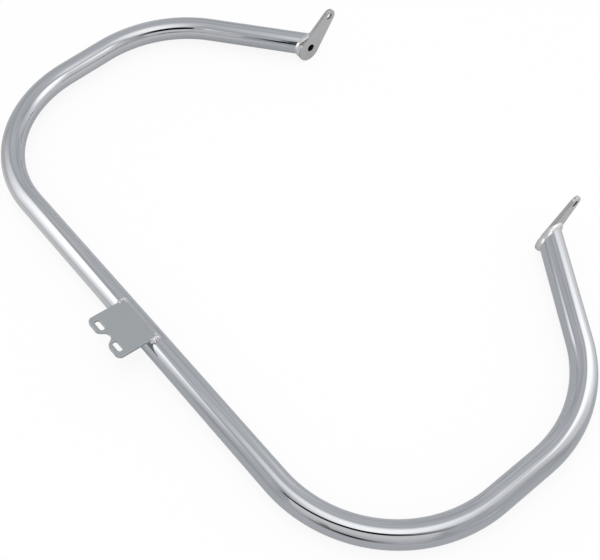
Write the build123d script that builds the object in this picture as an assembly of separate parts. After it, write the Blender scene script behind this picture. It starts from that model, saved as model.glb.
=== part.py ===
from build123d import *
import os
from math import cos, radians, sin, tan

# Motorcycle crash bars: one bent round tube with a centre mounting plate and two end tabs.
# Millimetres. X runs across the motorcycle, Y from the cross tube to the arms, Z up.
# The loop of the tube lies flat, and the lowest points of the end tabs are at Z = 0.

# Round tube
tube_od = 31.75
tube_wall = 3.05
bend_radius = 170.0

# Bend plan of one half, by the corner points of the tube's centreline
cross_half = 417.0
side_flare_deg = 2.25
side_length = 323.0
arm_slope_deg = 36.0
arm_length = 249.0

# Centre mounting plate, its reach counted from the line where it lies on the tube
plate_thickness = 4.0
plate_tilt_deg = 9.0
plate_half_width = 33.8
plate_overlap = 0.5
plate_reach = 52.3
plate_corner_radius = 7.2
plate_edge_break = 0.5

# Notch between the two ears of the plate
notch_depth = 10.3
notch_half_angle_deg = 35.5
notch_radius = 8.2
notch_lip_radius = 8.4

# Bolt slots in the ears
slot_spacing = 37.0
slot_reach = 43.7
slot_length = 16.2
slot_width = 6.4

# End tabs: a wide round end on the tube, a narrow round end with the bolt hole
tab_thickness = 4.8
tab_rise_deg = 45.0
tab_base_radius = 18.5
tab_base_drop = 8.0
tab_tip_radius = 10.25
tab_vent_drop = 5.0
tab_hole_spacing = 52.5
tab_vent_diameter = 10.4
tab_bolt_diameter = 9.2
tab_edge_break = 0.6

# Weld beads
tab_bead_width = 4.2
tab_bead_height = 5.0
plate_bead_radius = 3.4
plate_bead_return = 7.0
bead_root = 0.3

tube_radius = tube_od / 2
tube_bore_radius = tube_radius - tube_wall
arm_slope = radians(arm_slope_deg)
tab_rise = radians(tab_rise_deg)
tab_tip_reach = tab_hole_spacing - tab_vent_drop
loop_height = max(tube_radius, tab_base_radius + tab_base_drop * sin(tab_rise))

# Corner points of the right half, in the plane of the loop
lower_corner = Vector(cross_half, 0, loop_height)
side_direction = Vector(sin(radians(side_flare_deg)), cos(radians(side_flare_deg)), 0)
upper_corner = lower_corner + side_direction * side_length
arm_direction = Vector(-cos(arm_slope), sin(arm_slope), 0)

# Where the right arm's centreline meets the tab's free face and the face on the tube
tab_free_point = upper_corner + arm_direction * arm_length
tab_joint_point = tab_free_point - arm_direction * (tab_thickness / cos(arm_slope))


def mirrored(point):
    """The same point on the left half."""
    return Vector(-point.X, point.Y, point.Z)


def bent_bar(radius):
    """Round bar along the bent centreline, running on past both tabs."""
    arm_end = tab_free_point + arm_direction * tube_od
    right = [arm_end, upper_corner, lower_corner]
    left = [mirrored(point) for point in reversed(right)]
    path = FilletPolyline(*right, *left, radius=bend_radius)
    section = Plane(origin=path @ 0, z_dir=path % 0) * Circle(radius)
    return sweep(section, path=path)


def between_joints():
    """Space between the two faces on which the tube ends are welded."""
    middle = Pos(0, tab_joint_point.Y, loop_height)
    return middle * Box(2 * tab_joint_point.X, 6 * tube_od, 6 * tube_od)


def make_tube():
    """Hollow tube, both ends cut flat against the tabs."""
    return bent_bar(tube_radius) - bent_bar(tube_bore_radius) - between_joints()


def tab_plane():
    """Free face of the right tab, X along the tab and Z towards the tube."""
    along = (0, cos(tab_rise), sin(tab_rise))
    return Plane(origin=tab_free_point, x_dir=along, z_dir=(1, 0, 0))


def tab_outline():
    """Teardrop round the wide end and the bolt hole end."""
    base = Pos(-tab_base_drop, 0) * Circle(tab_base_radius)
    tip = Pos(tab_tip_reach, 0) * Circle(tab_tip_radius)
    return make_hull(base.edges() + tip.edges())


def make_tab():
    """Right tab with its vent hole into the tube and its bolt hole."""
    blank = extrude(tab_outline(), amount=tab_thickness)
    free_rim = blank.faces().sort_by(Axis.Z)[0].edges()
    blank = chamfer(free_rim, tab_edge_break)
    vent = Pos(-tab_vent_drop, 0) * Circle(tab_vent_diameter / 2)
    bolt = Pos(tab_tip_reach, 0) * Circle(tab_bolt_diameter / 2)
    return tab_plane() * (blank - extrude(vent + bolt, amount=tab_thickness))


def make_tab_weld():
    """Flat bead round the right tube end, no wider than the tab it lies on."""
    long_radius = tube_radius / cos(arm_slope)
    toe_plane = Plane(origin=tab_joint_point, x_dir=(0, 1, 0), z_dir=(1, 0, 0))
    crown_point = tab_joint_point - arm_direction * (tab_bead_height / cos(arm_slope))
    crown_plane = Plane(origin=crown_point, x_dir=(0, 1, 0), z_dir=(1, 0, 0))
    toe = toe_plane * Ellipse(long_radius + tab_bead_width, tube_radius + tab_bead_width)
    crown = crown_plane * Ellipse(long_radius - bead_root, tube_radius - bead_root)
    bead = loft([toe, crown], ruled=True)
    arm_section = Plane(origin=tab_joint_point, z_dir=arm_direction) * Circle(tube_radius)
    arm = extrude(arm_section, amount=4 * tab_bead_height + tube_od, both=True)
    above_tab = tab_plane() * extrude(tab_outline(), amount=tab_thickness + tab_bead_height)
    return (bead & above_tab) - arm


def plate_plane():
    """Underside of the plate, tangent to the cross tube, the ears rising."""
    tilt = radians(plate_tilt_deg)
    normal = Vector(0, sin(tilt), cos(tilt))
    touch = Vector(0, 0, loop_height) + normal * tube_radius
    return Plane(origin=touch, x_dir=(1, 0, 0), z_dir=normal)


def rounded(sketch, points, radius):
    """The sketch with its corners nearest the given points rounded."""
    corners = [sketch.vertices().sort_by_distance((x, y, 0))[0] for x, y in points]
    return fillet(corners, radius)


def plate_outline():
    """Straight-sided plate with two ears and a round-bottomed notch between them."""
    slope = radians(notch_half_angle_deg)
    apex_y = notch_depth - plate_reach + notch_radius * (1 / sin(slope) - 1)
    mouth_x = (apex_y + plate_reach) * tan(slope)
    tube_corner = (plate_half_width, plate_overlap)
    ear_corner = (plate_half_width, -plate_reach)
    notch_lip = (mouth_x, -plate_reach)
    right = [tube_corner, ear_corner, notch_lip]
    left = [(-x, y) for x, y in reversed(right)]
    outline = make_face(Polyline(*right, (0, apex_y), *left, close=True))
    outline = rounded(outline, [right[1], left[1]], plate_corner_radius)
    outline = rounded(outline, [right[2], left[0]], notch_lip_radius)
    return rounded(outline, [(0, apex_y)], notch_radius)


def make_plate():
    """Mounting plate with one slot in each ear, the slots along the tube."""
    blank = extrude(plate_outline(), amount=plate_thickness)
    top_rim = blank.faces().sort_by(Axis.Z)[-1].edges()
    open_rim = top_rim.sort_by(Axis.Y)[:-1]
    blank = chamfer(open_rim, plate_edge_break)
    slot = SlotOverall(slot_length, slot_width)
    slots = [Pos(side * slot_spacing / 2, -slot_reach) * slot for side in (-1, 1)]
    return plate_plane() * (blank - extrude(slots[0] + slots[1], amount=plate_thickness))


def capsule(start, end, radius):
    """Round bar between two points, with round ends."""
    span = end - start
    bar = extrude(Plane(origin=start, z_dir=span) * Circle(radius), amount=span.length)
    return bar + Pos(*start) * Sphere(radius) + Pos(*end) * Sphere(radius)


def make_plate_weld():
    """Bead along the plate's edge on the tube, turning a little way down both sides."""
    corner = Vector(plate_half_width, plate_overlap, 0)
    foot = Vector(plate_half_width, plate_overlap - plate_bead_return, 0)
    points = [foot, corner, mirrored(corner), mirrored(foot)]
    runs = [capsule(a, b, plate_bead_radius) for a, b in zip(points, points[1:])]
    under_plate = extrude(plate_outline(), amount=2 * plate_bead_radius, both=True)
    bead = plate_plane() * (runs[0] + runs[1] + runs[2] - under_plate)
    section = Plane(origin=(0, 0, loop_height), z_dir=(1, 0, 0)) * Circle(tube_radius)
    return bead - extrude(section, amount=2 * plate_half_width, both=True)


def main():
    right_tab = make_tab()
    right_weld = make_tab_weld()
    nodes = {
        "guard_tube": make_tube(),
        "mounting_plate": make_plate(),
        "plate_weld": make_plate_weld(),
        "right_end_tab": right_tab,
        "left_end_tab": mirror(right_tab, about=Plane.YZ),
        "right_tab_weld": right_weld,
        "left_tab_weld": mirror(right_weld, about=Plane.YZ),
    }
    box = Compound(list(nodes.values())).bounding_box()
    to_origin = Pos(0, -box.center().Y, 0)
    os.makedirs("parts", exist_ok=True)
    for name, shape in nodes.items():
        export_step(shape.moved(to_origin), f"parts/{name}.step")


main()
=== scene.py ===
"""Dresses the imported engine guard: one bent chromed tube, its mounting plate, end tabs and weld beads."""

import math

import bmesh
import bpy
from bpy.props import FloatProperty, FloatVectorProperty, IntProperty, PointerProperty
from mathutils import Euler, Matrix, Vector, noise


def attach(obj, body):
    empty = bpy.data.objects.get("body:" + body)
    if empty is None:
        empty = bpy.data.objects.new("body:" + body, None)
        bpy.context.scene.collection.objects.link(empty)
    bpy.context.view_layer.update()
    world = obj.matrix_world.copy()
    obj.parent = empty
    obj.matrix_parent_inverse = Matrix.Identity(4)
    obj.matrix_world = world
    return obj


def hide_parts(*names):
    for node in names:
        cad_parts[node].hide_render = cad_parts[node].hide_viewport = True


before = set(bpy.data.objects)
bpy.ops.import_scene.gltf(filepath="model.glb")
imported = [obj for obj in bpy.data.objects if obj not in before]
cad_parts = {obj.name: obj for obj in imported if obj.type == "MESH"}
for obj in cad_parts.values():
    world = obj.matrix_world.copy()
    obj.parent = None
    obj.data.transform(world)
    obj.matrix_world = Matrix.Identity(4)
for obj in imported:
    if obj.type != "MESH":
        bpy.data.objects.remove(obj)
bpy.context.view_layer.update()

bl_info = {
    "name": "Chromed engine guard",
    "version": (1, 0, 0),
    "blender": (4, 5, 0),
    "location": "View3D > Sidebar > Guard",
    "description": "Builds the tube, plate, tabs and weld beads of a motorcycle crash bar",
    "category": "Object",
}

HOLE_STEPS = 40
LOOP_MIDDLE = (0, 0, 0.03)
LEFT_BEND = (-0.365, 0.135, 0.045)


def length(name, description, metres):
    """A length that the user can change."""
    return FloatProperty(
        name=name, description=description, default=metres, min=0.0, precision=5, unit="LENGTH"
    )


def angle(name, description, degrees):
    """An angle that the user can change."""
    return FloatProperty(
        name=name, description=description, default=math.radians(degrees), subtype="ANGLE"
    )


def point(name, description, metres):
    """A place in the row frame that the user can change."""
    return FloatVectorProperty(
        name=name, description=description, default=metres, size=3, precision=5, subtype="TRANSLATION"
    )


def colour(name, description, rgb):
    """A colour that the user can change."""
    return FloatVectorProperty(
        name=name, description=description, default=rgb, size=3, min=0.0, max=1.0, subtype="COLOR"
    )


def count(name, description, number):
    """A number of steps that the user can change."""
    return IntProperty(name=name, description=description, default=number, min=3)


class GuardTubeSizes(bpy.types.PropertyGroup):
    """Sizes of the bent tube, with the bend plan by the corner points of its centreline."""

    middle: point("Middle", "Centreline at the middle of the cross tube", (0.0, -0.2318872, 0.0241569))
    diameter: length("Diameter", "Outside diameter of the tube", 0.03175)
    wall: length("Wall", "Thickness of the tube's wall", 0.00305)
    bend_radius: length("Bend radius", "Radius of every bend, at the centreline", 0.170)
    cross_half: length("Cross half", "Middle of the cross tube to the lower corner point", 0.417)
    side_flare: angle("Side flare", "How far the side legs lean outwards", 2.25)
    side_length: length("Side length", "Lower corner point to the upper one", 0.323)
    arm_slope: angle("Arm slope", "How far the arms slope back to the middle", 36.0)
    arm_length: length("Arm length", "Upper corner point to the tab's free face", 0.249)
    round_steps: count("Round steps", "Facets round the tube", 96)
    bend_steps: count("Bend steps", "Facets along the lower bend", 72)


class GuardPlateSizes(bpy.types.PropertyGroup):
    """Sizes of the mounting plate, its reach counted from where it lies on the tube."""

    thickness: length("Thickness", "Thickness of the plate", 0.004)
    tilt: angle("Tilt", "How far the ears rise", 9.0)
    half_width: length("Half width", "Middle of the plate to its straight sides", 0.0338)
    overlap: length("Overlap", "How far the plate runs on past the line where it lies on the tube", 0.0005)
    reach: length("Reach", "Line where it lies on the tube to the ears' ends", 0.0523)
    corner_radius: length("Corner radius", "Outer corners of the ears", 0.0072)
    notch_depth: length("Notch depth", "Depth of the notch between the ears", 0.0103)
    notch_half_angle: angle("Notch half angle", "Slope of the notch's sides", 35.5)
    notch_radius: length("Notch radius", "Round bottom of the notch", 0.0082)
    notch_lip_radius: length("Notch lip radius", "Inner corners of the ears", 0.0084)
    slot_spacing: length("Slot spacing", "Distance between the middles of the two slots", 0.037)
    slot_reach: length("Slot reach", "Line where it lies on the tube to the slots", 0.0437)
    slot_length: length("Slot length", "Length of a slot, along the tube", 0.0162)
    slot_width: length("Slot width", "Width of a slot", 0.0064)
    edge_break: length("Edge break", "Rounding of the plate's edges", 0.0005)


class GuardTabSizes(bpy.types.PropertyGroup):
    """Sizes of the end tabs, counted from where the tube's centreline meets them."""

    thickness: length("Thickness", "Thickness of a tab", 0.0048)
    rise: angle("Rise", "How steeply a tab rises from the loop", 45.0)
    base_radius: length("Base radius", "Wide round end on the tube", 0.0185)
    base_drop: length("Base drop", "Middle of the wide end below the centreline", 0.008)
    tip_radius: length("Tip radius", "Narrow round end", 0.01025)
    vent_drop: length("Vent drop", "Vent hole below the centreline", 0.005)
    hole_spacing: length("Hole spacing", "Vent hole to bolt hole", 0.0525)
    vent_diameter: length("Vent diameter", "Vent hole into the tube", 0.0104)
    bolt_diameter: length("Bolt diameter", "Bolt hole at the narrow end", 0.0092)
    edge_break: length("Edge break", "Rounding of the tab's edges", 0.0006)


class GuardBeadSizes(bpy.types.PropertyGroup):
    """Sizes of the weld beads."""

    tab_width: length("Tab bead width", "How far the bead runs out over the tab", 0.0042)
    tab_height: length("Tab bead height", "How far the bead climbs from the tab", 0.005)
    tab_crown: length("Tab bead crown", "How far the bead bulges", 0.0009)
    overhang: length("Overhang", "How far the bead stands out past the tab's edge", 0.00025)
    wash: length("Wash", "How far the bead runs down over the tab's edge", 0.0026)
    plate_radius: length("Plate bead radius", "Radius of the bead along the plate", 0.0034)
    plate_return: length("Plate bead return", "How far the bead turns down the plate's sides", 0.007)
    root: length("Root", "How far a bead is sunk into what it joins", 0.0003)
    ripple: length("Ripple", "Height of the ripples along a bead", 0.00007)
    ripple_pitch: length("Ripple pitch", "Distance from ripple to ripple", 0.0024)
    lump: length("Lump", "Height of the uneven lumps along a bead", 0.0004)
    # Painted highlight: this far from each end the plate bead gets a brighter, glossier plating for glints.
    painted_glint_length: length("Corner length", "How far the plate bead's brighter corners reach", 0.006)


class GuardFinish(bpy.types.PropertyGroup):
    """Colours of the plating, the bare steel, the floor and the lamps."""

    # The plating tones sit below bright chrome's and differ from part to part, so that each part shows
    # about as grey as it does under pale surroundings: painted reflection of grey, bluish surroundings, on
    # top of the plating's own tone.
    tube_tone: colour("Tube plating", "Tone of the tube's bright plating", (0.356, 0.372, 0.400))
    plate_tone: colour("Plate plating", "Tone of the plate's flatter plating", (0.310, 0.330, 0.347))
    tab_tone: colour("Tab plating", "Tone of the tabs' plating", (0.415, 0.418, 0.425))
    tab_edge_tone: colour("Tab edges", "Tone of the tabs' sheared edges", (0.33, 0.335, 0.345))
    # Darker tone on the bolt hole walls.
    hole_tone: colour("Bolt holes", "Tone of the thin plating in the bolt holes", (0.15, 0.15, 0.145))
    # Painted lighter than the tube's plating, for the light the tab beads catch.
    bead_tone_painted_lighter: colour("Bead plating", "Tone of the plating over the tabs' beads", (0.47, 0.475, 0.485))
    seam_tone: colour("Seam plating", "Tone of the plating over the plate's bead", (0.40, 0.41, 0.42))
    bore_tone: colour("Bore", "Bare steel inside the tube and the vent holes", (0.010, 0.0095, 0.009))
    floor_tone: colour("Floor", "Pale studio floor", (0.86, 0.86, 0.86))
    lamp_tone: colour("Soft boxes", "Slightly warm soft boxes and panels", (1.0, 0.97, 0.93))


class BendPlan:
    """Corner points and directions of the right half of the tube."""

    def __init__(self, tube, tab):
        self.middle = Vector(tube.middle)
        self.across = Vector((1, 0, 0))
        self.side = Vector((math.sin(tube.side_flare), math.cos(tube.side_flare), 0))
        self.arm = Vector((-math.cos(tube.arm_slope), math.sin(tube.arm_slope), 0))
        self.lower = self.middle + self.across * tube.cross_half
        self.upper = self.lower + self.side * tube.side_length
        self.free = self.upper + self.arm * tube.arm_length
        self.joint = self.free - self.arm * (tab.thickness / math.cos(tube.arm_slope))


def part_of(kind, geom):
    """The vertices, edges or faces among what an operator made."""
    return [item for item in geom if isinstance(item, kind)]


def once_each(items):
    """The items without repeats, in the order in which they come."""
    return list(dict.fromkeys(items))


def edges_between(verts):
    """The edges that join the given vertices."""
    inside = set(verts)
    edges = once_each(e for v in verts for e in v.link_edges)
    return [e for e in edges if inside.issuperset(e.verts)]


def ring(bm, radius, steps, place):
    """Edges of a circle."""
    made = bmesh.ops.create_circle(bm, segments=steps, radius=radius, matrix=place)
    return edges_between(made["verts"])


def run_on(bm, edges, step, steps=1):
    """Draws a ring of edges on along a straight line and returns the last ring."""
    for _ in range(steps):
        made = bmesh.ops.extrude_edge_only(bm, edges=edges)["geom"]
        verts = part_of(bmesh.types.BMVert, made)
        bmesh.ops.translate(bm, verts=verts, vec=step / steps)
        edges = edges_between(verts)
    return edges


def turn(bm, edges, centre, turned, steps):
    """Draws a ring of edges on round a bend and returns the last ring."""
    verts = once_each(v for e in edges for v in e.verts)
    made = bmesh.ops.spin(
        bm, geom=verts + edges, cent=centre, axis=(0, 0, 1), angle=turned, steps=steps
    )
    return part_of(bmesh.types.BMEdge, made["geom_last"])


def add_object(bm, name, *materials):
    """Puts what was drawn into the scene as a mesh with its materials."""
    mesh = bpy.data.meshes.new(name)
    bm.to_mesh(mesh)
    bm.free()
    for material in materials:
        mesh.materials.append(material)
    item = bpy.data.objects.new(name, mesh)
    bpy.context.scene.collection.objects.link(item)
    return item


def keep_piece(bm, name, slot, nodes, *materials):
    """Makes what was drawn a piece that stands for its CAD nodes."""
    piece = add_object(bm, name, *materials)
    piece.data.shade_smooth()
    piece.data.set_sharp_from_angle(angle=math.radians(50))
    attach(piece, "root")
    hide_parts(*nodes)


def feed(tree, socket, value):
    """Links a socket to another one, or sets it to a plain value."""
    if isinstance(value, bpy.types.NodeSocket):
        tree.links.new(value, socket)
    else:
        socket.default_value = value


def add_node(tree, kind, **inputs):
    """A shader node with some of its sockets set or linked."""
    node = tree.nodes.new(kind)
    for name, value in inputs.items():
        feed(tree, node.inputs[name], value)
    return node


def maths(tree, operation, first, second):
    """A sum, product or other simple result of two values."""
    node = tree.nodes.new("ShaderNodeMath")
    node.operation = operation
    for socket, value in zip(node.inputs, (first, second)):
        feed(tree, socket, value)
    return node.outputs[0]


def scaled(tree, tone, gain):
    """A colour multiplied by a value."""
    node = tree.nodes.new("ShaderNodeVectorMath")
    node.operation = "SCALE"
    tree.links.new(tone, node.inputs[0])
    tree.links.new(gain, node.inputs["Scale"])
    return node.outputs[0]


def new_material(name):
    """A material with nodes, and its node tree."""
    material = bpy.data.materials.new(name)
    material.use_nodes = True
    return material, material.node_tree


def plating_group():
    """Polished plating: clouded tone, hazy patches, fine polishing lines and a faint waviness."""
    group = bpy.data.node_groups.get("polished_plating")
    if group:
        return group
    group = bpy.data.node_groups.new("polished_plating", "ShaderNodeTree")
    face = group.interface
    face.new_socket("Tone", in_out="INPUT", socket_type="NodeSocketColor")
    for name, value in (("Clouding", 0.04), ("Gloss", 0.08), ("Haze", 0.05), ("Waves", 0.5)):
        face.new_socket(name, in_out="INPUT", socket_type="NodeSocketFloat").default_value = value
    face.new_socket("Colour", in_out="OUTPUT", socket_type="NodeSocketColor")
    for name in ("Roughness", "Height"):
        face.new_socket(name, in_out="OUTPUT", socket_type="NodeSocketFloat")
    given = group.nodes.new("NodeGroupInput")
    result = group.nodes.new("NodeGroupOutput")
    place = group.nodes.new("ShaderNodeTexCoord").outputs["Object"]
    line_stretch = (1.0, 1.0, 0.06)
    line_haze = 0.5
    line_depth = 0.004
    least_roughness = 0.02

    def patches(vector, *, scale, detail, roughness):
        """Uneven patches, from 0 to 1."""
        made = add_node(
            group, "ShaderNodeTexNoise", Vector=vector, Scale=scale, Detail=detail, Roughness=roughness
        )
        return made.outputs[0]

    lines = add_node(group, "ShaderNodeMapping", Vector=place)
    lines.inputs["Scale"].default_value = line_stretch
    clouds = patches(place, scale=24.0, detail=4.0, roughness=0.55)
    haze = patches(place, scale=130.0, detail=5.0, roughness=0.6)
    polish = patches(lines.outputs[0], scale=2600.0, detail=2.0, roughness=0.5)
    waves = patches(place, scale=38.0, detail=1.0, roughness=0.4)

    cloud_swing = maths(group, "SUBTRACT", clouds, 0.5)
    clouding = maths(group, "MULTIPLY", cloud_swing, given.outputs["Clouding"])
    tone_gain = maths(group, "ADD", clouding, 1.0)
    group.links.new(scaled(group, given.outputs["Tone"], tone_gain), result.inputs["Colour"])

    haze_swing = maths(group, "SUBTRACT", haze, 0.5)
    line_swing = maths(group, "MULTIPLY", maths(group, "SUBTRACT", polish, 0.5), line_haze)
    swing = maths(group, "ADD", haze_swing, line_swing)
    hazed = maths(group, "MULTIPLY", swing, given.outputs["Haze"])
    rough = maths(group, "ADD", hazed, given.outputs["Gloss"])
    group.links.new(maths(group, "MAXIMUM", rough, least_roughness), result.inputs["Roughness"])

    wave_height = maths(group, "MULTIPLY", waves, given.outputs["Waves"])
    line_height = maths(group, "MULTIPLY", polish, line_depth)
    group.links.new(maths(group, "ADD", wave_height, line_height), result.inputs["Height"])
    return group


def plating(name, tone, *, clouding, gloss, haze, waves, glance, mirrored=0.0):
    """Chrome plating with a tone, partly painted reflection of grey surroundings, and its own polish.

    glance is its brightness seen edge on, and mirrored is the share by which its colour is painted
    brighter where other chrome mirrors it, a painted reflection.
    """
    material, tree = new_material(name)
    shader = tree.nodes["Principled BSDF"]
    shader.inputs["Metallic"].default_value = 1.0
    shader.inputs["Specular Tint"].default_value = (glance, glance, glance, 1.0)
    finish = tree.nodes.new("ShaderNodeGroup")
    finish.node_tree = plating_group()
    finish.inputs["Tone"].default_value = (*tone, 1.0)
    for socket, value in (("Clouding", clouding), ("Gloss", gloss), ("Haze", haze), ("Waves", waves)):
        finish.inputs[socket].default_value = value
    bump = add_node(
        tree, "ShaderNodeBump", Height=finish.outputs["Height"], Strength=0.6, Distance=0.0004
    )
    # Painted reflection: in rays that other chrome sends on, the colour is made brighter by the mirrored
    # share.
    sent_on = tree.nodes.new("ShaderNodeLightPath").outputs["Is Glossy Ray"]
    gain = maths(tree, "ADD", maths(tree, "MULTIPLY", sent_on, mirrored), 1.0)
    tree.links.new(scaled(tree, finish.outputs["Colour"], gain), shader.inputs["Base Color"])
    tree.links.new(finish.outputs["Roughness"], shader.inputs["Roughness"])
    tree.links.new(bump.outputs[0], shader.inputs["Normal"])
    return material


def bare_steel(name, tone):
    """Dark scaled steel, as inside the tube and the vent holes."""
    darkest, palest = 0.5, 1.5
    smoothest, rough_swing = 0.55, 0.25
    material, tree = new_material(name)
    shader = tree.nodes["Principled BSDF"]
    shader.inputs["Specular IOR Level"].default_value = 0.1
    place = tree.nodes.new("ShaderNodeTexCoord").outputs["Object"]
    scale = add_node(
        tree, "ShaderNodeTexNoise", Vector=place, Scale=420.0, Detail=6.0, Roughness=0.65
    ).outputs[0]
    ramp = add_node(tree, "ShaderNodeValToRGB", Fac=scale)
    for element, share in zip(ramp.color_ramp.elements, (darkest, palest)):
        element.color = (*(c * share for c in tone), 1.0)
    rough = maths(tree, "ADD", maths(tree, "MULTIPLY", scale, rough_swing), smoothest)
    bump = add_node(tree, "ShaderNodeBump", Height=scale, Strength=0.5, Distance=0.0003)
    tree.links.new(ramp.outputs[0], shader.inputs["Base Color"])
    tree.links.new(rough, shader.inputs["Roughness"])
    tree.links.new(bump.outputs[0], shader.inputs["Normal"])
    return material


def bent_half(bm, tube, plan, radius):
    """One wall of the right half, from the middle to the tab's face. Returns the ring at the tab."""
    upright = Matrix.Translation(plan.middle) @ Matrix.Rotation(math.pi / 2, 4, "Y")
    first = ring(bm, radius, tube.round_steps, upright)
    lower_turn = math.pi / 2 - tube.side_flare
    upper_turn = math.pi / 2 + tube.side_flare - tube.arm_slope
    lower_reach = tube.bend_radius * math.tan(lower_turn / 2)
    upper_reach = tube.bend_radius * math.tan(upper_turn / 2)
    left_hand = Matrix.Rotation(math.pi / 2, 3, "Z")

    edges = run_on(bm, first, plan.across * (tube.cross_half - lower_reach), steps=8)
    centre = plan.lower - plan.across * lower_reach + left_hand @ plan.across * tube.bend_radius
    edges = turn(bm, edges, centre, lower_turn, tube.bend_steps)
    edges = run_on(bm, edges, plan.side * (tube.side_length - lower_reach - upper_reach), steps=3)
    centre = plan.upper - plan.side * upper_reach + left_hand @ plan.side * tube.bend_radius
    edges = turn(bm, edges, centre, upper_turn, round(tube.bend_steps * upper_turn / lower_turn))
    arm_run = (plan.joint - plan.upper).length - upper_reach
    edges = run_on(bm, edges, plan.arm * (arm_run - tube.diameter), steps=4)
    last = run_on(bm, edges, plan.arm * tube.diameter)
    for vert in once_each(v for e in last for v in e.verts):
        vert.co += plan.arm * ((plan.joint.x - vert.co.x) / plan.arm.x)
    return last


class GUARD_OT_bent_tube(bpy.types.Operator):
    """Bends the hollow tube and cuts both its ends flat for the tabs"""

    bl_idname = "guard.bent_tube"
    bl_label = "Bent tube"

    def execute(self, context):
        scene = context.scene
        tube, finish = scene.guard_tube, scene.guard_finish
        plan = BendPlan(tube, scene.guard_tab)
        bm = bmesh.new()
        outer_end = bent_half(bm, tube, plan, tube.diameter / 2)
        outside = set(bm.faces)
        inner_end = bent_half(bm, tube, plan, tube.diameter / 2 - tube.wall)
        for face in bm.faces:
            face.material_index = 0 if face in outside else 1
        bmesh.ops.bridge_loops(bm, edges=outer_end + inner_end)
        everything = bm.verts[:] + bm.edges[:] + bm.faces[:]
        bmesh.ops.mirror(bm, geom=everything, axis="X", merge_dist=1e-6)
        bmesh.ops.recalc_face_normals(bm, faces=bm.faces[:])
        bright = plating(
            "tube_plating", finish.tube_tone,
            clouding=0.05, gloss=0.045, haze=0.03, waves=0.4, glance=0.89, mirrored=1.2,
        )
        bore = bare_steel("tube_bore", finish.bore_tone)
        keep_piece(bm, "bent_tube", "tube_chrome", ["guard_tube"], bright, bore)
        return {"FINISHED"}


def round_corner(bm, before, corner, after, radius, steps):
    """A corner of an outline, as a chain of vertices round an arc. Returns its first and last vertex."""
    if radius == 0:
        vert = bm.verts.new(corner)
        return vert, vert
    back, on = (before - corner).normalized(), (after - corner).normalized()
    half = back.angle(on) / 2
    centre = corner + (back + on).normalized() * (radius / math.sin(half))
    start = bm.verts.new(corner + back * (radius / math.tan(half)))
    side = 1 if back.cross(on).z < 0 else -1
    made = bmesh.ops.spin(
        bm, geom=[start], cent=centre, axis=(0, 0, side), angle=math.pi - 2 * half, steps=steps
    )
    return start, part_of(bmesh.types.BMVert, made["geom_last"])[0]


def outline(bm, corners, steps=14):
    """Closed outline through corner points, each with the radius that rounds it."""
    spots = [Vector((x, y, 0)) for x, y, _ in corners]
    ends = []
    for i, (_, _, radius) in enumerate(corners):
        after = spots[(i + 1) % len(spots)]
        ends.append(round_corner(bm, spots[i - 1], spots[i], after, radius, steps))
    for (_, last), (first, _) in zip(ends, ends[1:] + ends[:1]):
        bm.edges.new((last, first))


def slab(bm, thickness, edge_break):
    """Fills the drawn outlines, gives them thickness and rounds every edge."""
    bmesh.ops.triangle_fill(bm, use_beauty=True, use_dissolve=False, edges=bm.edges[:])
    bmesh.ops.recalc_face_normals(bm, faces=bm.faces[:])
    if sum(face.normal.z for face in bm.faces) > 0:
        bmesh.ops.reverse_faces(bm, faces=bm.faces[:])
    under = bm.faces[:]
    top = under
    margin = 2 * edge_break
    for i, rise in enumerate((margin, thickness - 2 * margin, margin)):
        made = bmesh.ops.extrude_face_region(bm, geom=top, use_keep_orig=i == 0)["geom"]
        top = part_of(bmesh.types.BMFace, made)
        bmesh.ops.translate(bm, verts=part_of(bmesh.types.BMVert, made), vec=(0, 0, rise))
    bmesh.ops.recalc_face_normals(bm, faces=bm.faces[:])
    rims = []
    for cap in (under, top):
        inside = set(cap)
        rims += [e for f in cap for e in f.edges if any(g not in inside for g in e.link_faces)]
        bmesh.ops.inset_region(bm, faces=cap, thickness=margin, use_even_offset=True, use_boundary=True)
    bmesh.ops.bevel(
        bm, geom=rims, offset=edge_break, offset_type="OFFSET", segments=3, profile=0.5,
        affect="EDGES", material=-1,
    )


class GUARD_OT_mounting_plate(bpy.types.Operator):
    """Cuts the plate with its two slotted ears and lays it on the cross tube"""

    bl_idname = "guard.mounting_plate"
    bl_label = "Mounting plate"

    def execute(self, context):
        scene = context.scene
        plate, finish = scene.guard_plate, scene.guard_finish
        bm = bmesh.new()
        slope = plate.notch_half_angle
        apex = plate.notch_depth - plate.reach + plate.notch_radius * (1 / math.sin(slope) - 1)
        mouth = (apex + plate.reach) * math.tan(slope)
        right = [
            (plate.half_width, plate.overlap, 0),
            (plate.half_width, -plate.reach, plate.corner_radius),
            (mouth, -plate.reach, plate.notch_lip_radius),
        ]
        left = [(-x, y, radius) for x, y, radius in reversed(right)]
        outline(bm, [*right, (0, apex, plate.notch_radius), *left])
        pull = (plate.slot_length - plate.slot_width) / 2
        half_facet = Matrix.Rotation(math.pi / HOLE_STEPS, 4, "Z")
        for side in (-1, 1):
            made = bmesh.ops.create_circle(
                bm, segments=HOLE_STEPS, radius=plate.slot_width / 2, matrix=half_facet
            )
            for vert in made["verts"]:
                vert.co.x += math.copysign(pull, vert.co.x) + side * plate.slot_spacing / 2
                vert.co.y -= plate.slot_reach
        slab(bm, plate.thickness, plate.edge_break)
        place_plate(scene, bm)
        flat = plating(
            "plate_plating", finish.plate_tone,
            clouding=0.05, gloss=0.24, haze=0.06, waves=0.35, glance=0.8,
        )
        keep_piece(bm, "slotted_plate", "plate_chrome", ["mounting_plate"], flat)
        return {"FINISHED"}


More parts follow.
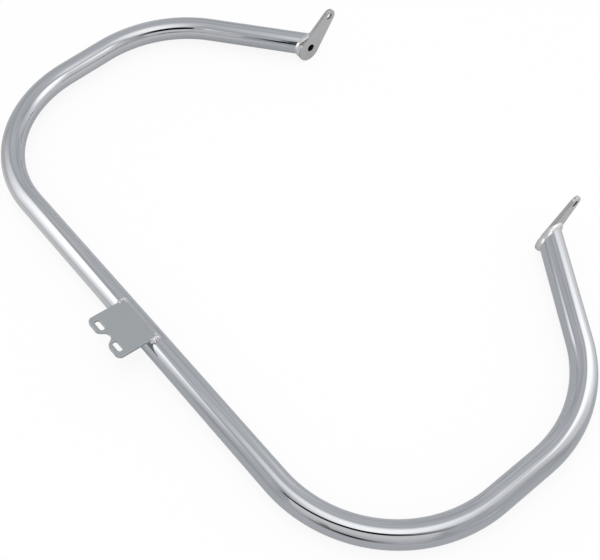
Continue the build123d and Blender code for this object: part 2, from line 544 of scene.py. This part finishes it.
def place_plate(scene, bm):
    """Lays what was drawn flat on the cross tube, tilted as the plate is."""
    tilted = Matrix.Rotation(-scene.guard_plate.tilt, 4, "X")
    lift = Matrix.Translation((0, 0, scene.guard_tube.diameter / 2))
    matrix = Matrix.Translation(scene.guard_tube.middle) @ tilted @ lift
    bmesh.ops.transform(bm, matrix=matrix, verts=bm.verts[:])


def tab_matrix(plan, tab):
    """From a tab drawn flat to its place: X along the tab, Z towards the tube."""
    along = Vector((0, math.cos(tab.rise), math.sin(tab.rise)))
    out = Vector((1, 0, 0))
    turned = Matrix((along, out.cross(along), out)).transposed().to_4x4()
    return Matrix.Translation(plan.free) @ turned


def tip_of(tab):
    """Where the middle of the narrow end lies along the tab."""
    return tab.hole_spacing - tab.vent_drop


def tab_shape(tab):
    """A tab drawn flat, with both holes and rounded edges."""
    bm = bmesh.new()
    tip = tip_of(tab)
    lean = math.acos((tab.base_radius - tab.tip_radius) / (tip + tab.base_drop))
    chains = []
    for middle, radius, start, swept, steps in (
        (-tab.base_drop, tab.base_radius, lean, 2 * (math.pi - lean), 64),
        (tip, tab.tip_radius, -lean, 2 * lean, 40),
    ):
        first = bm.verts.new((middle + radius * math.cos(start), radius * math.sin(start), 0))
        made = bmesh.ops.spin(
            bm, geom=[first], cent=(middle, 0, 0), axis=(0, 0, 1), angle=swept, steps=steps
        )
        chains.append((first, part_of(bmesh.types.BMVert, made["geom_last"])[0]))
    bm.edges.new((chains[0][1], chains[1][0]))
    bm.edges.new((chains[1][1], chains[0][0]))
    ring(bm, tab.vent_diameter / 2, HOLE_STEPS, Matrix.Translation((-tab.vent_drop, 0, 0)))
    ring(bm, tab.bolt_diameter / 2, HOLE_STEPS, Matrix.Translation((tip, 0, 0)))
    slab(bm, tab.thickness, tab.edge_break)
    return bm


def mark_tab(bm, tab):
    """Gives a flat tab's faces 0, its vent hole 1, its edges 2 and its bolt hole 3 as finish."""
    flattest = 0.9
    vent, bolt = Vector((-tab.vent_drop, 0)), Vector((tip_of(tab), 0))
    bm.normal_update()
    for face in bm.faces:
        spot = face.calc_center_median().xy
        if (spot - vent).length < tab.vent_diameter / 2 + tab.edge_break:
            face.material_index = 1
        elif (spot - bolt).length < tab.bolt_diameter / 2:
            face.material_index = 3
        else:
            face.material_index = 2 if abs(face.normal.z) < flattest else 0


class GUARD_OT_end_tabs(bpy.types.Operator):
    """Cuts the two teardrop tabs that close the tube ends"""

    bl_idname = "guard.end_tabs"
    bl_label = "End tabs"

    def execute(self, context):
        scene = context.scene
        tab, finish = scene.guard_tab, scene.guard_finish
        plan = BendPlan(scene.guard_tube, tab)
        plated = plating(
            "tab_plating", finish.tab_tone,
            clouding=0.05, gloss=0.24, haze=0.06, waves=0.35, glance=0.8,
        )
        bare = bare_steel("hole_steel", finish.bore_tone)
        sheared = plating(
            "edge_plating", finish.tab_edge_tone,
            clouding=0.08, gloss=0.16, haze=0.06, waves=0.35, glance=0.85,
        )
        # Darker tone on the bolt hole walls.
        darker_hole_walls = plating(
            "hole_plating", finish.hole_tone,
            clouding=0.1, gloss=0.2, haze=0.06, waves=0.35, glance=0.4,
        )
        for name, node, mirrored in (
            ("tab_right", "right_end_tab", False),
            ("tab_left", "left_end_tab", True),
        ):
            bm = tab_shape(tab)
            mark_tab(bm, tab)
            bmesh.ops.transform(bm, matrix=tab_matrix(plan, tab), verts=bm.verts[:])
            if mirrored:
                bmesh.ops.scale(bm, vec=(-1, 1, 1), verts=bm.verts[:])
            bmesh.ops.recalc_face_normals(bm, faces=bm.faces[:])
            keep_piece(bm, name, "tab_chrome", [node], plated, bare, sheared, darker_hole_walls)
        return {"FINISHED"}


def room_on_tab(spot, tab):
    """How far a spot on the tab lies inside its outline."""
    reach = tip_of(tab) + tab.base_drop
    lean = (tab.base_radius - tab.tip_radius) / reach
    level = math.sqrt(1 - lean * lean)
    x, y = spot.x + tab.base_drop, abs(spot.y)
    along = x * level - y * lean
    if along < 0:
        return tab.base_radius - math.hypot(x, y)
    if along > reach * level:
        return tab.tip_radius - math.hypot(x - reach, y)
    return tab.base_radius - (x * lean + y * level)


def ripple(turns):
    """Height of the stacked ripples of a bead, from 0 to 1."""
    return abs(math.sin(math.pi * turns))


class GUARD_OT_weld_beads(bpy.types.Operator):
    """Lays the rippled beads round the tube ends and along the plate"""

    bl_idname = "guard.weld_beads"
    bl_label = "Weld beads"

    def execute(self, context):
        scene = context.scene
        finish = scene.guard_finish
        # The tab beads' plating is painted lighter than the tube's, for the light they catch.
        plated = plating(
            "bead_plating", finish.bead_tone_painted_lighter,
            clouding=0.1, gloss=0.26, haze=0.1, waves=0.8, glance=0.85,
        )
        seam = plating(
            "seam_plating", finish.seam_tone,
            clouding=0.1, gloss=0.12, haze=0.06, waves=0.8, glance=0.85,
        )
        # Painted highlight: a brighter plating at the plate bead's corners for glints.
        corner = plating(
            "corner_plating_painted_glints", finish.bead_tone_painted_lighter,
            clouding=0.1, gloss=0.12, haze=0.08, waves=0.8, glance=0.85,
        )
        for name, node, mirrored in (
            ("tab_bead_right", "right_tab_weld", False),
            ("tab_bead_left", "left_tab_weld", True),
        ):
            bm = tab_bead(scene)
            if mirrored:
                bmesh.ops.scale(bm, vec=(-1, 1, 1), verts=bm.verts[:])
            bmesh.ops.recalc_face_normals(bm, faces=bm.faces[:])
            keep_piece(bm, name, "weld_chrome", [node], plated)
        bm = plate_bead(scene)
        # Faces near the corners get the brighter plating, a painted highlight.
        painted_glint_start = scene.guard_plate.half_width - scene.guard_bead.painted_glint_length
        for face in bm.faces:
            face.material_index = 1 if abs(face.calc_center_median().x) > painted_glint_start else 0
        keep_piece(bm, "plate_bead", "weld_chrome", ["plate_weld"], seam, corner)
        return {"FINISHED"}


def draw_ring_on(bm, steps, places):
    """Draws a ring on from place to place, each a function of the angle round the ring."""
    layers = bm.verts.layers.float
    angle_round = layers.get("angle_round") or layers.new("angle_round")
    verts = bmesh.ops.create_circle(bm, segments=steps, radius=1.0)["verts"]
    for vert in verts:
        vert[angle_round] = math.atan2(vert.co.y, vert.co.x)
    for i, place in enumerate(places):
        if i > 0:
            made = bmesh.ops.extrude_edge_only(bm, edges=edges_between(verts))["geom"]
            verts = part_of(bmesh.types.BMVert, made)
        for vert in verts:
            vert.co = place(vert[angle_round])


def close_rings(bm):
    """Closes the seams and poles of what was drawn on and turns its faces outwards."""
    bmesh.ops.remove_doubles(bm, verts=bm.verts[:], dist=1e-7)
    bmesh.ops.recalc_face_normals(bm, faces=bm.faces[:])
    bm.verts.layers.float.remove(bm.verts.layers.float["angle_round"])


def tab_bead(scene):
    """Bead round the right tube end, drawn on over its section and closed at its root."""
    tube, tab, bead = scene.guard_tube, scene.guard_tab, scene.guard_bead
    plan = BendPlan(tube, tab)
    flat = tab_matrix(plan, tab).inverted()
    round_radius = tube.diameter / 2
    long_radius = round_radius / math.cos(tube.arm_slope)
    climb = plan.arm * (-bead.tab_height / math.cos(tube.arm_slope))
    ripples = round(math.pi * (round_radius + long_radius) / bead.ripple_pitch)
    facets_per_ripple, section_steps, fitting_rounds = 10, 12, 12
    rim_run, wash_run = 0.0005, 0.003
    lump_grain = 330

    def edge_of_tube(around):
        """Where the tube meets the tab, and the direction outwards over the tab."""
        from_middle = Vector((0, long_radius * math.cos(around), round_radius * math.sin(around)))
        edge = plan.joint + from_middle
        out = Vector((0, math.cos(around) / long_radius, math.sin(around) / round_radius))
        return edge, out.normalized()

    def root(around):
        """Places in the corner between tube and tab, where the bead is closed."""
        edge, out = edge_of_tube(around)
        return edge - (out + plan.across) * bead.root

    def on_section(share):
        """Places from the crown on the tube, at 0, to the toe on the tab, at 1."""

        def place(around):
            edge, out = edge_of_tube(around)
            width = bead.tab_width
            for _ in range(fitting_rounds):
                width += min(room_on_tab(flat @ (edge + out * width), tab) + bead.overhang, 0)
            cut = bead.tab_width - width
            past_rim = tab.edge_break * min(cut / rim_run, 1)
            sink = bead.root + past_rim + bead.wash * min(cut / wash_run, 1)
            toe = edge + out * width - plan.across * sink
            crown = edge + climb - out * bead.root
            lift = (out - out.project(toe - crown)).normalized()
            hump = 4 * share * (1 - share)
            drift = 0.3 * math.sin(3 * around + 1) + 0.2 * math.sin(7 * around)
            phase = ripples * around / (2 * math.pi) - 0.5 * hump + drift
            spot = crown.lerp(toe, share)
            room = min(width / bead.tab_width, 1)
            height = bead.ripple * ripple(phase) + bead.lump * noise.noise(spot * lump_grain)
            swell = bead.tab_crown * hump + room * height * min(1, 2 * hump)
            return spot + lift * swell

        return place

    bm = bmesh.new()
    section = [on_section(i / section_steps) for i in range(section_steps + 1)]
    draw_ring_on(bm, facets_per_ripple * ripples, [root, *section, root])
    close_rings(bm)
    return bm


def bead_run(bm, start, end, bead):
    """A rippled bead with round ends between two points, lumpier near its ends."""
    span = end - start
    total = span.length + 2 * bead.plate_radius
    facets_per_ripple, round_steps = 8, 32
    steps = facets_per_ripple * round(total / bead.ripple_pitch)
    facing = span.to_track_quat("Z", "Y")
    end_reach = 0.016
    end_lump, lump_swing, lump_grain = 2.2 * bead.lump, 1.7, 430

    def at(along):
        """Places round the bead at a distance from its first end."""
        past = max(bead.plate_radius - along, along - total + bead.plate_radius, 0)
        share = math.sqrt(max(1 - (past / bead.plate_radius) ** 2, 0))
        from_end = max(min(along, total - along), 0)
        near_end = max(1 - from_end / end_reach, 0)
        forward = Vector((0, 0, along - bead.plate_radius))

        def place(around):
            drift = 0.25 * math.sin(900 * along) + 0.2 * math.sin(2 * around + 1)
            depth = 1 - ripple(along / bead.ripple_pitch + drift)
            groove = bead.ripple * (0.4 + 0.6 * near_end) * depth
            side = Vector((math.cos(around), math.sin(around), 0))
            spot = start + facing @ (side * bead.plate_radius + forward)
            lump = end_lump * near_end * (1 + lump_swing * noise.noise(spot * lump_grain))
            radius = share * (bead.plate_radius - groove + lump)
            return start + facing @ (side * radius + forward)

        return place

    draw_ring_on(bm, round_steps, [at(total * i / steps) for i in range(steps + 1)])


def plate_bead(scene):
    """Bead along the plate's edge on the tube, turning a little way down both sides."""
    plate, bead = scene.guard_plate, scene.guard_bead
    corner = Vector((plate.half_width, plate.overlap, 0))
    foot = Vector((plate.half_width, plate.overlap - bead.plate_return, 0))
    points = [foot, corner, Vector((-corner.x, corner.y, 0)), Vector((-foot.x, foot.y, 0))]
    bm = bmesh.new()
    for start, end in zip(points, points[1:]):
        bead_run(bm, start, end, bead)
    close_rings(bm)
    place_plate(scene, bm)
    return bm


def heading(azimuth, elevation):
    """Direction from the object, the azimuth in degrees from +Y towards +X."""
    a, e = math.radians(azimuth), math.radians(elevation)
    return Vector((math.sin(a) * math.cos(e), math.cos(a) * math.cos(e), math.sin(e)))


def show_blend(tree, share, first, second):
    """Makes a material show two shaders, blended by the share of the second."""
    blend = tree.nodes.new("ShaderNodeMixShader")
    for socket, source in zip(blend.inputs, (share, first.outputs[0], second.outputs[0])):
        tree.links.new(source, socket)
    tree.links.new(blend.outputs[0], tree.nodes["Material Output"].inputs["Surface"])


def seen_white(tree):
    """Share of plain white that the camera sees, and that metal or glass sends on."""
    straight_share, sent_on_share = 0.88, 0.25
    path = tree.nodes.new("ShaderNodeLightPath").outputs
    sent_on = maths(tree, "MAXIMUM", path["Is Glossy Ray"], path["Is Transmission Ray"])
    straight = maths(tree, "MULTIPLY", path["Is Camera Ray"], straight_share)
    return maths(tree, "MAXIMUM", straight, maths(tree, "MULTIPLY", sent_on, sent_on_share))


def studio_floor(finish):
    """Pale matt floor that shows nearly white and keeps a soft shadow."""
    material, tree = new_material("pale_floor")
    shader = tree.nodes["Principled BSDF"]
    shader.inputs["Base Color"].default_value = (*finish.floor_tone, 1.0)
    shader.inputs["Roughness"].default_value = 0.9
    shader.inputs["Specular IOR Level"].default_value = 0.0
    glow = add_node(tree, "ShaderNodeEmission", Color=(1, 1, 1, 1), Strength=1.0)
    show_blend(tree, seen_white(tree), shader, glow)
    bm = bmesh.new()
    bmesh.ops.create_grid(bm, x_segments=1, y_segments=1, size=6.0)
    add_object(bm, "studio_floor", material)


def studio_world():
    """Pale, slightly uneven surroundings that the camera itself sees as plain white."""
    brightness, patchiness = 0.9, 0.9
    brighter_towards = heading(122, 0) * -0.06 + Vector((0, 0, 0.075))
    world = bpy.data.worlds.new("studio_world")
    world.use_nodes = True
    tree = world.node_tree
    sky = tree.nodes["Background"]
    sky.inputs["Color"].default_value = (1, 1, 1, 1)
    direction = tree.nodes.new("ShaderNodeTexCoord").outputs["Generated"]
    side = tree.nodes.new("ShaderNodeVectorMath")
    side.operation = "DOT_PRODUCT"
    side.inputs[1].default_value = brighter_towards
    tree.links.new(direction, side.inputs[0])
    patches = add_node(
        tree, "ShaderNodeTexNoise", Vector=direction, Scale=3.6, Detail=2.0, Roughness=0.5
    )
    uneven = maths(tree, "MULTIPLY", maths(tree, "SUBTRACT", patches.outputs[0], 0.5), patchiness)
    level = maths(tree, "ADD", side.outputs["Value"], brightness)
    seen = tree.nodes.new("ShaderNodeLightPath").outputs["Is Camera Ray"]
    strength = maths(tree, "MAXIMUM", maths(tree, "ADD", level, uneven), seen)
    tree.links.new(strength, sky.inputs["Strength"])
    bpy.context.scene.world = world


def key_lamp():
    """Large soft lamp overhead for the floor's shadow."""
    lamp = bpy.data.lights.new("key_lamp", "AREA")
    lamp.shape = "DISK"
    lamp.size = 1.2
    lamp.energy = 9.0
    holder = bpy.data.objects.new("key_lamp", lamp)
    holder.location = (0.2, -0.1, 2.0)
    holder.visible_glossy = False
    bpy.context.scene.collection.objects.link(holder)


def soft_edge(tree, value, edge, softness):
    """1 before an edge of a card, fading to 0 across it."""
    fade = tree.nodes.new("ShaderNodeMapRange")
    fade.interpolation_type = "SMOOTHSTEP"
    tree.links.new(value, fade.inputs["Value"])
    fade.inputs["From Min"].default_value = edge - softness
    fade.inputs["From Max"].default_value = edge + softness
    fade.inputs["To Min"].default_value = 1.0
    fade.inputs["To Max"].default_value = 0.0
    return fade.outputs["Result"]


def stand_card(name, matrix, turned, size, soft, brightness):
    """A card that shows only in the chrome, with soft left, right, top and bottom edges."""
    left, right, top, bottom = soft
    material, tree = new_material(name)
    across = tree.nodes.new("ShaderNodeSeparateXYZ")
    tree.links.new(tree.nodes.new("ShaderNodeTexCoord").outputs["Object"], across.inputs[0])
    shown = 1.0
    for axis, reach, near, far in (("X", size[0] / 2, left, right), ("Y", size[1] / 2, bottom, top)):
        back = maths(tree, "MULTIPLY", across.outputs[axis], -1.0)
        shown = maths(tree, "MULTIPLY", shown, soft_edge(tree, across.outputs[axis], reach, far))
        shown = maths(tree, "MULTIPLY", shown, soft_edge(tree, back, reach, near))
    clear = tree.nodes.new("ShaderNodeBsdfTransparent")
    lamp_tone = (*bpy.context.scene.guard_finish.lamp_tone, 1)
    glow = add_node(tree, "ShaderNodeEmission", Color=lamp_tone, Strength=brightness)
    show_blend(tree, shown, clear, glow)

    bm = bmesh.new()
    bmesh.ops.create_grid(bm, x_segments=1, y_segments=1, size=0.5)
    bmesh.ops.scale(bm, vec=(size[0] + left + right, size[1] + top + bottom, 1), verts=bm.verts[:])
    bmesh.ops.translate(bm, vec=((right - left) / 2, (top - bottom) / 2, 0), verts=bm.verts[:])
    card = add_object(bm, name, material)
    card.matrix_world = matrix @ Matrix.Rotation(math.radians(turned), 4, "Z")
    card.visible_camera = False
    card.visible_diffuse = False
    card.visible_shadow = False


def studio_card(
    name, *, azimuth, elevation, distance, turned=0, size, soft, brightness=0.0, seen_from=LOOP_MIDDLE
):
    """A card facing a place on the object, at a heading and distance from it, dark unless it is lit."""
    out = heading(azimuth, elevation)
    sideways = Vector((0, 0, 1)).cross(out).normalized()
    facing = Matrix((sideways, out.cross(sideways), out)).transposed().to_4x4()
    middle = Matrix.Translation(Vector(seen_from) + out * distance)
    stand_card(name, middle @ facing, turned, size, soft, brightness)


def floor_board(name, *, spot, turned=0, size, soft, brightness):
    """A bounce board lying on the floor beside the object."""
    thickness = 0.001
    middle = Matrix.Translation((*spot, thickness))
    stand_card(name, middle, turned, size, (soft, soft, soft, soft), brightness)


def soft_boxes():
    """Soft boxes and panels for the white and pale bands along the chrome."""
    studio_card(
        "softbox_above", azimuth=104, elevation=81, distance=1.87, turned=-29,
        size=(0.74, 1.47), soft=(0.80, 0.80, 0.56, 0.03), brightness=3.2,
    )
    studio_card(
        "softbox_behind", azimuth=35, elevation=39, distance=1.25, turned=-14,
        size=(0.81, 0.83), soft=(0.25, 0.25, 0.09, 0.37), brightness=2.75,
    )
    studio_card(
        "softbox_front", azimuth=-138, elevation=31, distance=0.78, turned=10.5,
        size=(0.50, 0.47), soft=(0.28, 0.28, 0.07, 0.44), brightness=3.5,
    )
    studio_card(
        "softbox_low", azimuth=22.5, elevation=17.4, distance=0.82, turned=26,
        size=(0.39, 0.43), soft=(0.77, 0.77, 0.12, 0.65), brightness=3.6,
    )
    studio_card(
        "side_panel", azimuth=63.6, elevation=31.3, distance=0.89, turned=26,
        size=(0.23, 0.62), soft=(0.14, 0.14, 0.12, 0.05), brightness=1.47,
    )
    studio_card(
        "pale_panel", azimuth=134.8, elevation=28.2, distance=0.81, turned=-4,
        size=(0.79, 0.32), soft=(0.02, 0.04, 0.03, 0.25), brightness=1.4,
    )


def dark_cards():
    """Dark cards for the black lines on the bends and the left arm."""
    studio_card(
        "dark_slit", azimuth=135.4, elevation=50.2, distance=1.36, turned=5.8,
        size=(1.07, 0.55), soft=(0.03, 0.40, 0.03, 0.03),
    )
    studio_card(
        "dark_end", azimuth=164.9, elevation=43.7, distance=0.963,
        size=(0.17, 0.11), soft=(0.02, 0.02, 0.015, 0.015),
    )
    studio_card(
        "dark_post", azimuth=159.8, elevation=24.8, distance=3.24, turned=11,
        size=(0.25, 0.88), soft=(0.10, 0.02, 0.08, 0.06),
    )
    # Hides the post from the left bend, which would show it beside its own line.
    studio_card(
        "pale_flag", azimuth=157, elevation=16.8, distance=0.355, seen_from=LEFT_BEND,
        size=(0.11, 0.155), soft=(0.01, 0.01, 0.01, 0.02), brightness=1.15,
    )
    studio_card(
        "dark_strip", azimuth=135.9, elevation=5.8, distance=0.69, turned=-8,
        size=(0.25, 0.075), soft=(0.20, 0.10, 0.01, 0.012),
    )


def bounce_boards():
    """Boards on the floor that brighten the lower side of the tube."""
    floor_board("bounce_front", spot=(-0.27, -0.415), size=(0.40, 0.32), soft=0.03, brightness=1.3)
    floor_board(
        "bounce_behind", spot=(0.37, 0.464), turned=-36, size=(0.42, 0.32), soft=0.03, brightness=1.5
    )
    floor_board("bounce_inside", spot=(-0.27, -0.02), size=(0.22, 0.16), soft=0.08, brightness=1.35)


def photo_camera(scene):
    """Camera with the place, aim and lens of the photograph."""
    aim = (32.84305, 1.50603, 49.59569)
    camera = bpy.data.cameras.new("photo_camera")
    camera.sensor_width = 36.0
    camera.lens = 53.8565
    camera.clip_start, camera.clip_end = 0.05, 50.0
    holder = bpy.data.objects.new("photo_camera", camera)
    holder.location = (0.54745, -0.415387, 0.952612)
    holder.rotation_euler = Euler([math.radians(a) for a in aim], "XYZ")
    scene.collection.objects.link(holder)
    scene.camera = holder


class GUARD_OT_studio(bpy.types.Operator):
    """Sets up the pale floor, the soft lamps and the camera"""

    bl_idname = "guard.studio"
    bl_label = "Studio"

    def execute(self, context):
        scene = context.scene
        scene.view_settings.view_transform = "Standard"
        studio_floor(scene.guard_finish)
        studio_world()
        key_lamp()
        soft_boxes()
        dark_cards()
        bounce_boards()
        photo_camera(scene)
        return {"FINISHED"}


class GUARD_PT_sidebar(bpy.types.Panel):
    """Lists the steps that build the guard"""

    bl_idname = "GUARD_PT_sidebar"
    bl_label = "Engine guard"
    bl_space_type = "VIEW_3D"
    bl_region_type = "UI"
    bl_category = "Guard"

    def draw(self, context):
        for step in STEPS:
            self.layout.operator(step.bl_idname)


SIZES = {
    "guard_tube": GuardTubeSizes,
    "guard_plate": GuardPlateSizes,
    "guard_tab": GuardTabSizes,
    "guard_bead": GuardBeadSizes,
    "guard_finish": GuardFinish,
}
STEPS = (
    GUARD_OT_bent_tube,
    GUARD_OT_mounting_plate,
    GUARD_OT_end_tabs,
    GUARD_OT_weld_beads,
    GUARD_OT_studio,
)


def register():
    for kind in (*SIZES.values(), *STEPS, GUARD_PT_sidebar):
        bpy.utils.register_class(kind)
    for name, kind in SIZES.items():
        setattr(bpy.types.Scene, name, PointerProperty(type=kind))


def unregister():
    for name in SIZES:
        delattr(bpy.types.Scene, name)
    for kind in (GUARD_PT_sidebar, *reversed(STEPS), *reversed(SIZES.values())):
        bpy.utils.unregister_class(kind)


def main():
    register()
    bpy.ops.guard.bent_tube()
    bpy.ops.guard.mounting_plate()
    bpy.ops.guard.end_tabs()
    bpy.ops.guard.weld_beads()
    bpy.ops.guard.studio()


if __name__ == "__main__":
    main()
